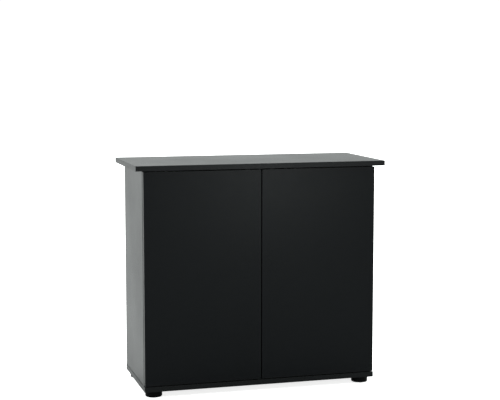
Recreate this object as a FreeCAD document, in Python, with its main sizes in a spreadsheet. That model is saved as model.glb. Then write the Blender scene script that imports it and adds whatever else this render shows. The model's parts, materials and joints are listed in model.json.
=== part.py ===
import FreeCAD, Part
import math
import os
import re

import Sketcher

# Aquarium stand cabinet.  Millimetres, +Z up, +Y towards the back, origin on the floor at the
# middle of the footprint.  Every board, fitting and fastener is a sub-part of its own.

Vector = FreeCAD.Vector
RIGHTWARDS = Vector(1, 0, 0)
LEFTWARDS = Vector(-1, 0, 0)
BACKWARDS = Vector(0, 1, 0)
FORWARDS = Vector(0, -1, 0)
UPWARDS = Vector(0, 0, 1)
DOWNWARDS = Vector(0, 0, -1)
TOLERANCE = 0.01

# Driving sizes: name, value, meaning.
SIZES = [
    ("top_width", 810, "top panel, left to right"),
    ("top_depth", 360, "top panel, front to back"),
    ("total_height", 730, "floor to the upper face of the top panel"),
    ("board", 16, "thickness of every board"),
    ("band", 1, "thickness of every edge band"),
    ("body_width", 756, "over the outer faces of the side panels"),
    ("body_depth", 320, "door fronts to the rear face of the back panel"),
    ("door_gap", 3, "gap behind and below the doors"),
    ("door_top_gap", 5, "gap between the doors and the top panel"),
    ("door_centre_gap", 4, "gap between the two doors"),
    ("door_reveal", 0.5, "outer edge of a door inside the side panel's face"),
    ("port_width", 130, "hose port in the back panel, across"),
    ("port_height", 70, "hose port in the back panel, from its sill to its upper edge"),
    ("port_round", 20, "radius of a hose port's corners"),
    ("port_inset", 50, "hose ports from the back panel's ends"),
    ("port_drop", 90, "hose ports below the back panel's upper edge"),
    ("shelf_slack", 0.5, "gap at each end of the shelf"),
    ("shelf_setback", 20, "shelf front behind the carcass front"),
    ("shelf_back_gap", 2, "gap behind the shelf"),
    ("pin_first", 231, "lowest shelf pin hole above the floor"),
    ("pin_pitch", 32, "spacing of the shelf pin holes"),
    ("pin_holes", 9, "shelf pin holes in a column"),
    ("pin_step", 4, "holes below the pins that hold the shelf"),
    ("pin_inset", 37, "pin columns from the upright's front and rear edges"),
    ("pin_bore", 2.5, "radius of a shelf pin hole"),
    ("pin_bore_depth", 10, "depth of a shelf pin hole"),
    ("pin_radius", 2.45, "shelf pin"),
    ("pin_sunk", 9, "shelf pin inside the board"),
    ("pin_proud", 8, "shelf pin under the shelf"),
    ("joint_reach", 101, "cam locks and base screws from the cabinet's middle, front to back"),
    ("dowel_reach", 61, "top dowels from the cabinet's middle, front to back"),
    ("cam_drop", 34, "cam lock centre below the upright's top edge"),
    ("cam_bore", 7.5, "radius of a cam lock's bore"),
    ("cam_radius", 7.4, "cam lock"),
    ("cam_depth", 12.4, "cam lock, and its bore with a little to spare"),
    ("cam_slot", 4, "radius of the way for the bolt through the cam lock"),
    ("bolt_bore", 4, "radius of the bolt's bore in the upright's edge"),
    ("bolt_thread", 2.45, "radius of the cam bolt's thread"),
    ("bolt_thread_length", 11, "cam bolt's thread in the top panel"),
    ("bolt_shaft", 3, "radius of the cam bolt's shaft"),
    ("bolt_head", 3.6, "radius of the cam bolt's head and collar"),
    ("bolt_head_height", 4, "cam bolt's head"),
    ("bolt_reach", 36, "cam bolt below the top panel"),
    ("dowel_radius", 4, "wooden dowel"),
    ("dowel_bevel", 0.8, "bevel at a dowel's ends"),
    ("dowel_short", 12, "dowel inside a board's face"),
    ("dowel_long", 18, "dowel inside a board's edge"),
    ("back_dowels", 3, "dowels in each end of the back panel"),
    ("dowel_low", 100, "lowest back dowel above the back panel's lower edge"),
    ("dowel_step", 230, "spacing of the back dowels"),
    ("fit", 0.05, "radial room around a fastener in its bore"),
    ("spare", 0.5, "extra depth of a blind bore"),
    ("base_screw_head", 5, "radius of a base screw's head"),
    ("base_screw_head_height", 4.5, "base screw's head"),
    ("base_screw_shank", 3.4, "radius of a base screw in the base panel"),
    ("base_screw_thread", 2.45, "radius of a base screw in an upright's edge"),
    ("base_screw_length", 50, "base screw overall"),
    ("base_screw_key", 2.2, "half the hexagon socket's width across its corners"),
    ("back_screw_across", 181, "base screws under the back panel, from the middle"),
    ("wood_screw_head", 3.5, "radius of a small screw's head"),
    ("wood_screw_head_height", 1.6, "small screw's head"),
    ("wood_screw_thread", 1.5, "radius of a small screw's thread"),
    ("wood_screw_tip", 2.5, "length of a screw's point"),
    ("recess_long", 3.6, "length of a cross recess"),
    ("recess_wide", 0.9, "width of a cross recess"),
    ("recess_deep", 1, "depth of a cross recess"),
    ("back_screw_thread", 1.9, "radius of a back panel screw"),
    ("back_screw_length", 45, "back panel screw overall"),
    ("back_screws", 4, "screws through the back panel"),
    ("back_screw_low", 84, "lowest back panel screw above the panel's lower edge"),
    ("back_screw_step", 170, "spacing of the back panel screws"),
    ("hinge_from_end", 90, "hinge centre from the door's end"),
    ("pivot_across", 7.5, "hinge pin inside the side panel's outer face"),
    ("pivot_ahead", 12.25, "hinge pin ahead of the carcass front"),
    ("hinge_pin", 1.25, "radius of the hinge pin"),
    ("hinge_pin_half", 8.6, "half the hinge pin's length"),
    ("knuckle", 2.1, "radius of the arm's knuckle"),
    ("knuckle_half", 5.5, "half the width of the knuckle and neck"),
    ("arm_sheet", 1.6, "thickness of the arm's steel"),
    ("arm_across", 18.9, "arm's inner face from the side panel's outer face"),
    ("arm_bend", 2.2, "outer radius of the arm's bend"),
    ("arm_skirt", 1.4, "depth of the arm's skirts"),
    ("arm_half", 8, "half the width of the arm's channel"),
    ("arm_skirt_gap", 6.5, "half the width inside the arm's channel"),
    ("arm_channel", 6, "start of the arm's channel behind the carcass front"),
    ("arm_end", 50, "end of the arm behind the carcass front"),
    ("arm_screw_front", 17, "adjusting screw behind the carcass front"),
    ("arm_screw_rear", 44, "clamping screw behind the carcass front"),
    ("arm_screw_shank", 2, "radius of an arm screw's shank"),
    ("arm_screw_head", 3.4, "radius of an arm screw's head"),
    ("arm_screw_head_height", 1.8, "arm screw's head"),
    ("arm_hole", 2.5, "radius of the arm's screw holes"),
    ("cup_across", 21, "cup centre from the side panel's outer face"),
    ("cup_bore", 17.5, "radius of the cup's bore in the door"),
    ("cup_radius", 17.4, "hinge cup"),
    ("cup_inside", 16.6, "radius of the cup's hollow"),
    ("cup_deep", 12.5, "depth of the cup in the door"),
    ("cup_floor", 0.8, "thickness of the cup's floor"),
    ("cup_ear", 11.3, "cup's ears end, from the side panel's outer face"),
    ("cup_slot", 5, "start of the slot between the ears, measured the same way"),
    ("cup_slot_half", 6, "half the width of the slot between the ears"),
    ("cup_flange", 1, "thickness of the cup's flange"),
    ("cup_flange_round", 18.5, "radius of the cup's round flange"),
    ("cup_wing_near", 20.5, "near edge of the cup's wings, from the side panel's outer face"),
    ("cup_wing_far", 33.5, "far edge of the cup's wings"),
    ("cup_wing_half", 29, "half the length over the cup's wings"),
    ("wing_round", 2, "radius of the corners of the cup's wings and the strike plate"),
    ("cup_screw_across", 27, "cup screws from the side panel's outer face"),
    ("cup_screw_half", 24, "half the spacing of the cup screws"),
    ("cup_screw_length", 11, "cup screw below its head"),
    ("plate_sheet", 1.4, "thickness of the mounting plate's wings"),
    ("plate_centre", 37, "mounting plate's screws behind the carcass front"),
    ("plate_wing_half_width", 6, "half the width of the plate's wings"),
    ("plate_wing_half", 22, "half the length over the plate's wings"),
    ("plate_spine_front", 11, "front of the plate's spine behind the carcass front"),
    ("plate_spine_rear", 54, "rear of the plate's spine"),
    ("plate_spine_half", 6, "half the width of the plate's spine"),
    ("plate_screw_half", 16, "half the spacing of the plate's screws"),
    ("plate_screw_thread", 2.45, "radius of a plate screw"),
    ("plate_screw_length", 12, "plate screw below its head"),
    ("latch_across", 40, "push latches from the cabinet's middle"),
    ("latch_drop", 12, "push latch axis below the top panel"),
    ("latch_radius", 7, "radius of the latch housing"),
    ("latch_setback", 0.5, "latch housing behind the carcass front"),
    ("latch_length", 76, "latch housing"),
    ("latch_bore_depth", 62, "depth of the latch housing's bore"),
    ("latch_ear_half", 17, "half the width over the latch's ears"),
    ("latch_ear_sheet", 3, "thickness of the latch's ears"),
    ("latch_ear_start", 22, "start of the latch's ears behind its front"),
    ("latch_ear_length", 12, "length of the latch's ears"),
    ("latch_screw_half", 12.5, "half the spacing of a latch's screws"),
    ("latch_screw_length", 13, "latch screw below its head"),
    ("plunger_radius", 5, "latch plunger"),
    ("plunger_length", 56, "latch plunger"),
    ("magnet_radius", 4.4, "magnet in the plunger's tip"),
    ("magnet_length", 2, "magnet in the plunger's tip"),
    ("strike_half", 8, "half the width of the strike plate"),
    ("strike_sheet", 1.2, "thickness of the strike plate"),
    ("strike_above", 6, "strike plate above the latch axis"),
    ("strike_below", 18, "strike plate below the latch axis"),
    ("strike_screw_below", 12, "strike plate's screw below the latch axis"),
    ("strike_screw_length", 12, "strike plate's screw below its head"),
    ("foot_height", 20, "floor to the base panel"),
    ("foot_radius", 26.5, "levelling foot"),
    ("foot_inset_side", 34, "foot centre from the side panel's outer face"),
    ("foot_inset_end", 33, "foot centre from the body's front or back"),
    ("foot_gap", 0.5, "gap between a foot and the base panel"),
    ("foot_low_round", 3, "radius of a foot's lower edge"),
    ("foot_high_round", 1, "radius of a foot's upper edge"),
    ("stud_radius", 4, "levelling foot's stud"),
    ("stud_low", 8, "lower end of the stud above the floor"),
    ("stud_high", 34.5, "upper end of the stud above the floor"),
    ("socket_barrel", 6, "radius of the threaded socket"),
    ("socket_flange", 10, "radius of the socket's flange"),
    ("socket_flange_sheet", 1.5, "thickness of the socket's flange"),
    ("socket_length", 14.5, "threaded socket overall"),
]

# Places worked out from the driving sizes.
TOP_UNDERSIDE = "(total_height - board)"
BASE_TOP = "(foot_height + board)"
UPRIGHT_HEIGHT = "(total_height - foot_height - 2 * board)"
SIDE_OUTER = "(body_width / 2)"
SIDE_INNER = "(body_width / 2 - board)"
REAR = "(body_depth / 2)"
BACK_FRONT = "(body_depth / 2 - board)"
DOOR_FRONT = "(-body_depth / 2)"
DOOR_REAR = "(board - body_depth / 2)"
CARCASS_FRONT = "(board + door_gap - body_depth / 2)"
CORE_FRONT = f"({CARCASS_FRONT} + band)"
DOOR_LOW = f"({BASE_TOP} + door_gap)"
DOOR_HEIGHT = f"({UPRIGHT_HEIGHT} - door_gap - door_top_gap)"
DOOR_WIDTH = "(body_width / 2 - door_reveal - door_centre_gap / 2)"
HINGE_HEIGHTS = {
    "lower": f"({DOOR_LOW} + hinge_from_end)",
    "upper": f"({DOOR_LOW} + {DOOR_HEIGHT} - hinge_from_end)",
}
PIN_HEIGHT = "(pin_first + pin_step * pin_pitch)"
PIN_COLUMNS = [f"({CARCASS_FRONT} + pin_inset)", f"({BACK_FRONT} - pin_inset)"]
LATCH_HEIGHT = f"({TOP_UNDERSIDE} - latch_drop)"
LATCH_FRONT = f"({CARCASS_FRONT} + latch_setback)"
SIDES = {"left": -1, "right": 1}
ENDS = {"front": -1, "rear": 1}

doc = FreeCAD.newDocument("aquarium_stand_cabinet")
sheet = doc.addObject("Spreadsheet::Sheet", "sizes")
for row, (alias, number, meaning) in enumerate(SIZES, 1):
    sheet.set(f"A{row}", meaning)
    sheet.set(f"B{row}", str(number))
    sheet.setAlias(f"B{row}", alias)
doc.recompute()

SHEET_NAMES = re.compile(r"\b(" + "|".join(alias for alias, _, _ in SIZES) + r")\b")
sub_parts = []


# ---- bound sizes and places ----

def full(expression):
    """Write every sheet name in an expression as sizes.name."""
    return SHEET_NAMES.sub(r"sizes.\1", str(expression))


def value(expression):
    """Work out an expression's present value."""
    return float(sheet.evalExpression(full(expression)))


def near(number, other):
    """Tell whether two lengths are the same."""
    return abs(number - other) < TOLERANCE


def bind(thing, **properties):
    """Bind properties of an object to expressions."""
    for name, expression in properties.items():
        thing.setExpression(name, full(expression))


def place(thing, spot, direction=UPWARDS):
    """Point an object's own +Z along direction and bind its origin to a spot."""
    thing.Placement = FreeCAD.Placement(Vector(), FreeCAD.Rotation(UPWARDS, direction))
    for letter, expression in zip("xyz", spot):
        thing.setExpression(f".Placement.Base.{letter}", full(expression))


def keep(thing, label):
    """Name an object and list it as one of the cabinet's sub-parts."""
    thing.Label = label
    sub_parts.append(thing)
    return thing


# ---- sketches ----

def new_sketch(body, plane, offset=0):
    """Start a sketch on one of a body's own planes, moved along that plane's axis."""
    role = {"x": "YZ_Plane", "y": "XZ_Plane", "z": "XY_Plane"}[plane]
    sketch = body.newObject("Sketcher::SketchObject", "sketch")
    support = next(item for item in body.Origin.OriginFeatures if item.Role == role)
    sketch.AttachmentSupport = [(support, "")]
    sketch.MapMode = "FlatFace"
    along_normal = f"-({offset})" if plane == "y" else offset
    sketch.setExpression(".AttachmentOffset.Base.z", full(along_normal))
    return sketch


def hold(sketch, kind, geometry, point, expression):
    """Bind a point's distance from the sketch's origin."""
    rule = Sketcher.Constraint(kind, -1, 1, geometry, point, value(expression))
    index = sketch.addConstraint(rule)
    sketch.setExpression(f"Constraints[{index}]", full(expression))


def join(sketch, first, first_point, second, second_point):
    """Make two points of a sketch one."""
    sketch.addConstraint(Sketcher.Constraint("Coincident", first, first_point, second, second_point))


def add_outline(sketch, corners):
    """Draw a closed outline of straight lines with every corner bound."""
    spots = [Vector(value(across), value(up), 0) for across, up in corners]
    followers = spots[1:] + spots[:1]
    lines = [sketch.addGeometry(Part.LineSegment(a, b)) for a, b in zip(spots, followers)]
    for line, follower, (across, up) in zip(lines, lines[1:] + lines[:1], corners):
        join(sketch, line, 2, follower, 1)
        hold(sketch, "DistanceX", line, 1, across)
        hold(sketch, "DistanceY", line, 1, up)


def add_rectangle(sketch, low, high):
    """Draw a rectangle between two opposite corners."""
    add_outline(sketch, [low, (high[0], low[1]), high, (low[0], high[1])])


def add_circle(sketch, centre, radius):
    """Draw a circle with a bound centre and radius."""
    spot = Vector(value(centre[0]), value(centre[1]), 0)
    circle = sketch.addGeometry(Part.Circle(spot, UPWARDS, value(radius)))
    index = sketch.addConstraint(Sketcher.Constraint("Radius", circle, value(radius)))
    sketch.setExpression(f"Constraints[{index}]", full(radius))
    hold(sketch, "DistanceX", circle, 3, centre[0])
    hold(sketch, "DistanceY", circle, 3, centre[1])


def add_arc(sketch, centre, radius, start, end):
    """Draw an arc from start to end, in degrees, with a bound centre and radius."""
    spot = Vector(value(centre[0]), value(centre[1]), 0)
    circle = Part.Circle(spot, UPWARDS, value(radius))
    arc = sketch.addGeometry(Part.ArcOfCircle(circle, math.radians(start), math.radians(end)))
    index = sketch.addConstraint(Sketcher.Constraint("Radius", arc, value(radius)))
    sketch.setExpression(f"Constraints[{index}]", full(radius))
    hold(sketch, "DistanceX", arc, 3, centre[0])
    hold(sketch, "DistanceY", arc, 3, centre[1])
    return arc


def add_line(sketch, start, end):
    """Draw one straight line; its ends are joined or bound by the caller."""
    spots = [Vector(value(across), value(up), 0) for across, up in (start, end)]
    return sketch.addGeometry(Part.LineSegment(*spots))


# ---- features ----

def new_body(name):
    """Start a body."""
    return doc.addObject("PartDesign::Body", name)


def pad(body, sketch, length, towards=1, middle=False):
    """Raise a sketch along its plane's axis (1), against it (-1), or both ways alike."""
    feature = body.newObject("PartDesign::Pad", "pad")
    feature.Profile = sketch
    along_y = sketch.AttachmentSupport[0][0].Role == "XZ_Plane"
    feature.Reversed = (towards < 0) != along_y
    feature.Midplane = middle
    bind(feature, Length=length)
    return feature


def pocket(body, sketch, depth, towards=-1, middle=False):
    """Cut a sketch away along its plane's axis (1), against it (-1), or both ways alike."""
    feature = body.newObject("PartDesign::Pocket", "pocket")
    feature.Profile = sketch
    along_y = sketch.AttachmentSupport[0][0].Role == "XZ_Plane"
    feature.Reversed = (towards > 0) != along_y
    feature.Midplane = middle
    bind(feature, Length=depth)
    return feature


def drill(body, axis, start, towards, spots, radius, depth):
    """Bore round holes along an axis from start, at places given by the other two axes."""
    sketch = new_sketch(body, axis, start)
    for spot in spots:
        add_circle(sketch, spot, radius)
    return pocket(body, sketch, depth, towards)


def spin(body, corners):
    """Turn an outline of radius and height about the body's own Z axis."""
    sketch = new_sketch(body, "y")
    add_outline(sketch, corners)
    feature = body.newObject("PartDesign::Revolution", "revolution")
    feature.Profile = sketch
    feature.ReferenceAxis = (sketch, ["V_Axis"])
    feature.Angle = 360
    return feature


def round_edges(body, radius, chosen):
    """Round every edge of the body whose middle and direction pass a test."""
    doc.recompute()
    base = body.Tip
    names = []
    for number, edge in enumerate(base.Shape.Edges, 1):
        middle = edge.BoundBox.Center
        span = Vector(edge.BoundBox.XLength, edge.BoundBox.YLength, edge.BoundBox.ZLength)
        if chosen(middle, span):
            names.append(f"Edge{number}")
    feature = body.newObject("PartDesign::Fillet", "fillet")
    feature.Base = (base, names)
    bind(feature, Radius=radius)
    return feature


def cross_recess(body, top):
    """Cut a screwdriver's cross into a head that faces the body's own +Z."""
    sketch = new_sketch(body, "z", top)
    long = "recess_long / 2"
    wide = "recess_wide / 2"
    add_outline(sketch, [
        (f"-{long}", f"-{wide}"), (f"-{wide}", f"-{wide}"), (f"-{wide}", f"-{long}"),
        (wide, f"-{long}"), (wide, f"-{wide}"), (long, f"-{wide}"),
        (long, wide), (wide, wide), (wide, long),
        (f"-{wide}", long), (f"-{wide}", wide), (f"-{long}", wide),
    ])
    pocket(body, sketch, "recess_deep")


def slab(name, spot, width, depth, height):
    """Make a board with one corner at its own origin and place that corner."""
    body = new_body(name)
    sketch = new_sketch(body, "z")
    add_rectangle(sketch, (0, 0), (width, depth))
    pad(body, sketch, height)
    place(body, spot)
    return keep(body, name)


def gather(label, pieces):
    """Collect pieces, each a separate solid, in one sub-part."""
    compound = doc.addObject("Part::Compound", label)
    compound.Links = pieces
    return keep(compound, label)


def strips(label, boxes):
    """Make edge bands: plain strips in one sub-part."""
    pieces = []
    for spot, (width, depth, height) in boxes:
        strip = doc.addObject("Part::Box", label + "_strip")
        bind(strip, Length=width, Width=depth, Height=height)
        place(strip, spot)
        pieces.append(strip)
    gather(label, pieces)


def new_copy(piece):
    """Make a copy of a piece that keeps the piece's shape."""
    link = doc.addObject("App::Link", piece.Name + "_copy")
    link.LinkedObject = piece
    return link


def copies(label, piece, places):
    """Place copies of one piece in one sub-part."""
    links = []
    for spot, direction in places:
        link = new_copy(piece)
        place(link, spot, direction)
        links.append(link)
    gather(label, links)


# ---- boards ----

def make_top_panel():
    """Top panel, wider and deeper than the body, drilled underneath."""
    half_width = "(top_width / 2 - band)"
    half_depth = "(top_depth / 2 - band)"
    panel = slab("top_panel", (f"-{half_width}", f"-{half_depth}", TOP_UNDERSIDE),
                 f"2 * {half_width}", f"2 * {half_depth}", "board")
    uprights = [f"{half_width} + {sign} * ({SIDE_OUTER} - board / 2)" for sign in (-1, 0, 1)]
    bolts = [(across, f"{half_depth} + {end} * joint_reach") for across in uprights for end in (-1, 1)]
    dowels = [(across, f"{half_depth} + {end} * dowel_reach") for across in uprights for end in (-1, 1)]
    drill(panel, "z", 0, 1, bolts, "bolt_thread + fit", "bolt_thread_length + spare")
    drill(panel, "z", 0, 1, dowels, "dowel_radius + fit", "dowel_short + spare")
    ears = f"{half_depth} + {LATCH_FRONT} + latch_ear_start + latch_ear_length / 2"
    screws = [(f"{half_width} + {side} * latch_across + {ear} * latch_screw_half", ears)
              for side in (-1, 1) for ear in (-1, 1)]
    drill(panel, "z", 0, 1, screws, "wood_screw_thread + fit",
          "latch_screw_length - latch_ear_sheet + spare")
    long_strip = ("top_width", "band", "board")
    short_strip = ("band", f"2 * {half_depth}", "board")
    strips("top_panel_edging", [
        (("-top_width / 2", "-top_depth / 2", TOP_UNDERSIDE), long_strip),
        (("-top_width / 2", half_depth, TOP_UNDERSIDE), long_strip),
        (("-top_width / 2", f"-{half_depth}", TOP_UNDERSIDE), short_strip),
        ((half_width, f"-{half_depth}", TOP_UNDERSIDE), short_strip),
    ])


def make_base_panel():
    """Base panel under the uprights, drilled from below for screws and feet."""
    panel = slab("base_panel", (f"-{SIDE_OUTER}", f"-{REAR}", "foot_height"),
                 "body_width", "body_depth", "board")
    screws = [(f"{SIDE_OUTER} + {spot[0]}", f"{REAR} + {spot[1]}") for spot in base_screw_spots()]
    drill(panel, "z", 0, 1, screws, "base_screw_head + fit", "base_screw_head_height")
    drill(panel, "z", 0, 1, screws, "base_screw_shank + fit", "board")
    feet = [(f"{SIDE_OUTER} + {spot[0]}", f"{REAR} + {spot[1]}") for spot in foot_spots().values()]
    drill(panel, "z", 0, 1, feet, "socket_flange + fit", "socket_flange_sheet")
    drill(panel, "z", 0, 1, feet, "socket_barrel + fit", "socket_length + spare")
    long_strip = ("body_width + 2 * band", "band", "board")
    short_strip = ("band", "body_depth", "board")
    strips("base_panel_edging", [
        ((f"-{SIDE_OUTER} - band", f"-{REAR} - band", "foot_height"), long_strip),
        ((f"-{SIDE_OUTER} - band", f"-{REAR}", "foot_height"), short_strip),
        ((SIDE_OUTER, f"-{REAR}", "foot_height"), short_strip),
        ((f"-{SIDE_OUTER} - band", REAR, "foot_height"), long_strip),
    ])


def drill_upright_ends(panel, cam_face, cam_towards):
    """Bore an upright for its cam locks, cam bolts, top dowels and base screws."""
    middle = "board / 2"
    joints = [(middle, f"{end} * joint_reach - {CORE_FRONT}") for end in (-1, 1)]
    dowels = [(middle, f"{end} * dowel_reach - {CORE_FRONT}") for end in (-1, 1)]
    cams = [(along, f"{UPRIGHT_HEIGHT} - cam_drop") for _, along in joints]
    drill(panel, "z", UPRIGHT_HEIGHT, -1, joints, "bolt_bore", "cam_drop")
    drill(panel, "z", UPRIGHT_HEIGHT, -1, dowels, "dowel_radius + fit", "dowel_long + spare")
    drill(panel, "z", 0, 1, joints, "base_screw_thread + fit", "base_screw_length - board + spare")
    drill(panel, "x", cam_face, cam_towards, cams, "cam_bore", "cam_depth + fit")


def drill_shelf_pins(panel, face, towards):
    """Bore two columns of shelf pin holes as a pattern up the board."""
    columns = [(f"{column} - {CORE_FRONT}", f"pin_first - {BASE_TOP}") for column in PIN_COLUMNS]
    first = drill(panel, "x", face, towards, columns, "pin_bore", "pin_bore_depth")
    pattern = panel.newObject("PartDesign::LinearPattern", "pin_holes")
    pattern.Originals = [first]
    height_axis = next(item for item in panel.Origin.OriginFeatures if item.Role == "Z_Axis")
    pattern.Direction = (height_axis, [""])
    bind(pattern, Length="(pin_holes - 1) * pin_pitch", Occurrences="pin_holes")
    panel.Tip = pattern


def make_side_panel(side):
    """Side panel with bores for its cams, dowels, screws and hinge plates."""
    sign = SIDES[side]
    left_face = f"-{SIDE_OUTER}" if sign < 0 else SIDE_INNER
    inner_face = "board" if sign < 0 else "0"
    panel = slab(f"{side}_side_panel", (left_face, CORE_FRONT, BASE_TOP),
                 "board", f"{REAR} - band - {CORE_FRONT}", UPRIGHT_HEIGHT)
    drill_upright_ends(panel, inner_face, sign)
    dowel_line = f"{BACK_FRONT} + board / 2 - {CORE_FRONT}"
    dowels = [(dowel_line, height) for height in back_dowel_heights()]
    drill(panel, "x", inner_face, sign, dowels, "dowel_radius + fit", "dowel_short + spare")
    plate_screws = [("plate_centre - band", f"{height} - {BASE_TOP} + {end} * plate_screw_half")
                    for height in HINGE_HEIGHTS.values() for end in (-1, 1)]
    drill(panel, "x", inner_face, sign, plate_screws, "plate_screw_thread + fit",
          "plate_screw_length - plate_sheet + spare")
    if side == "left":
        drill_shelf_pins(panel, inner_face, sign)


def make_centre_partition():
    """Upright between the two compartments, with shelf pin holes on its left."""
    panel = slab("centre_partition", ("-board / 2", CORE_FRONT, BASE_TOP),
                 "board", f"{BACK_FRONT} - {CORE_FRONT}", UPRIGHT_HEIGHT)
    drill_upright_ends(panel, "board", -1)
    screws = [("board / 2", height) for height in back_screw_heights()]
    drill(panel, "y", f"{BACK_FRONT} - {CORE_FRONT}", -1, screws, "back_screw_thread + fit",
          "back_screw_length - board + spare")
    drill_shelf_pins(panel, "0", 1)


def make_upright_edging():
    """Edge bands on the front edges of the three uprights and the rear edges of the side panels."""
    size = ("board", "band", UPRIGHT_HEIGHT)
    fronts = [(start, CARCASS_FRONT, BASE_TOP) for start in (f"-{SIDE_OUTER}", "-board / 2", SIDE_INNER)]
    rears = [(start, f"{REAR} - band", BASE_TOP) for start in (f"-{SIDE_OUTER}", SIDE_INNER)]
    strips("upright_edging", [(start, size) for start in fronts + rears])


def make_back_panel():
    """Back panel between the side panels, with a rounded hose port for each compartment."""
    width = f"(2 * {SIDE_INNER})"
    panel = slab("back_panel", (f"-{SIDE_INNER}", BACK_FRONT, BASE_TOP), width, "board", UPRIGHT_HEIGHT)
    sketch = new_sketch(panel, "y", "board")
    port_top = f"({UPRIGHT_HEIGHT} - port_drop)"
    sill = f"({port_top} - port_height)"
    inner_end = "(port_inset + port_width)"
    add_rectangle(sketch, ("port_inset", sill), (inner_end, port_top))
    add_rectangle(sketch, (f"{width} - {inner_end}", sill), (f"{width} - port_inset", port_top))
    pocket(panel, sketch, "board")
    levels = [value(sill), value(port_top)]
    round_edges(panel, "port_round", lambda middle, span: near(span.y, value("board"))
                and any(near(middle.z, level) for level in levels))
    dowels = [("board / 2", height) for height in back_dowel_heights()]
    drill(panel, "x", 0, 1, dowels, "dowel_radius + fit", "dowel_long + spare")
    drill(panel, "x", width, -1, dowels, "dowel_radius + fit", "dowel_long + spare")
    screws = [(SIDE_INNER, height) for height in back_screw_heights()]
    drill(panel, "y", "board", -1, screws, "wood_screw_head + fit", "wood_screw_head_height")
    drill(panel, "y", "board", -1, screws, "back_screw_thread + fit", "board")
    base_screws = [(f"{SIDE_INNER} + {sign} * back_screw_across", "board / 2") for sign in (-1, 1)]
    drill(panel, "z", 0, 1, base_screws, "base_screw_thread + fit", "base_screw_length - board + spare")


def make_shelf():
    """Shelf of the left compartment, lying on four pins."""
    start = f"(-{SIDE_INNER} + shelf_slack)"
    front = f"({CARCASS_FRONT} + shelf_setback)"
    width = f"({SIDE_INNER} - board / 2 - 2 * shelf_slack)"
    bottom = f"({PIN_HEIGHT} + pin_radius)"
    depth = f"{BACK_FRONT} - shelf_back_gap - {front} - band"
    slab("shelf", (start, f"{front} + band", bottom), width, depth, "board")
    strips("shelf_edging", [((start, front, bottom), (width, "band", "board"))])


def make_door(side):
    """Door board with its edge bands, bored behind for the cups and the strike plate."""
    sign = SIDES[side]
    outer = f"({SIDE_OUTER} - door_reveal)"
    left_end = f"(-{outer})" if sign < 0 else "(door_centre_gap / 2)"
    board_width = f"({DOOR_WIDTH} - 2 * band)"
    board_height = f"({DOOR_HEIGHT} - 2 * band)"
    panel = slab(f"{side}_door_panel", (f"{left_end} + band", DOOR_FRONT, f"{DOOR_LOW} + band"),
                 board_width, "board", board_height)

    def in_board(from_middle, height):
        """Turn a distance from the cabinet's middle and a height into the board's own places."""
        return f"{sign} * ({from_middle}) - {left_end} - band", f"{height} - {DOOR_LOW} - band"

    cups = [in_board(f"{SIDE_OUTER} - cup_across", height) for height in HINGE_HEIGHTS.values()]
    drill(panel, "y", "board", -1, cups, "cup_bore", "cup_deep")
    screws = [in_board(f"{SIDE_OUTER} - cup_screw_across", f"{height} + {end} * cup_screw_half")
              for height in HINGE_HEIGHTS.values() for end in (-1, 1)]
    drill(panel, "y", "board", -1, screws, "wood_screw_thread + fit",
          "cup_screw_length - cup_flange + spare")
    strike = [in_board("latch_across", f"{LATCH_HEIGHT} - strike_screw_below")]
    drill(panel, "y", "board", -1, strike, "wood_screw_thread + fit",
          "strike_screw_length - strike_sheet + spare")
    upright = ("band", "board", DOOR_HEIGHT)
    level = (board_width, "board", "band")
    strips(f"{side}_door_edging", [
        ((left_end, DOOR_FRONT, DOOR_LOW), upright),
        ((f"{left_end} + {DOOR_WIDTH} - band", DOOR_FRONT, DOOR_LOW), upright),
        ((f"{left_end} + band", DOOR_FRONT, DOOR_LOW), level),
        ((f"{left_end} + band", DOOR_FRONT, f"{DOOR_LOW} + {DOOR_HEIGHT} - band"), level),
    ])


# ---- joining fittings ----

def base_screw_spots():
    """Places of the base screws, from the cabinet's middle."""
    spots = [(f"{side} * ({SIDE_OUTER} - board / 2)", f"{end} * joint_reach")
             for side in (-1, 0, 1) for end in (-1, 1)]
    return spots + [(f"{side} * back_screw_across", f"({REAR} - board / 2)") for side in (-1, 1)]


def foot_spots():
    """Places of the four feet, from the cabinet's middle."""
    return {f"{end}_{side}": (f"{SIDES[side]} * ({SIDE_OUTER} - foot_inset_side)",
                              f"{ENDS[end]} * ({REAR} - foot_inset_end)")
            for end in ENDS for side in SIDES}


def back_dowel_heights():
    """Heights of the back dowels above the base panel."""
    return [f"dowel_low + {step} * dowel_step" for step in range(int(value("back_dowels")))]


def back_screw_heights():
    """Heights of the back panel screws above the base panel."""
    return [f"back_screw_low + {step} * back_screw_step" for step in range(int(value("back_screws")))]


def make_cam_locks():
    """Round cams sunk in the uprights' faces, with a way for the bolt and a driver slot."""
    cam = new_body("cam_lock_piece")
    spin(cam, [(0, 0), ("cam_radius", 0), ("cam_radius", "-cam_depth"), (0, "-cam_depth")])
    drill(cam, "x", "cam_radius", -1, [(0, "-board / 2")], "cam_slot", "2 * cam_radius")
    cross_recess(cam, 0)
    height = f"{TOP_UNDERSIDE} - cam_drop"
    faces = [(f"-{SIDE_INNER}", RIGHTWARDS), ("board / 2", RIGHTWARDS), (SIDE_INNER, LEFTWARDS)]
    copies("cam_locks", cam, [((face, f"{end} * joint_reach", height), direction)
                              for face, direction in faces for end in (-1, 1)])


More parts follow.
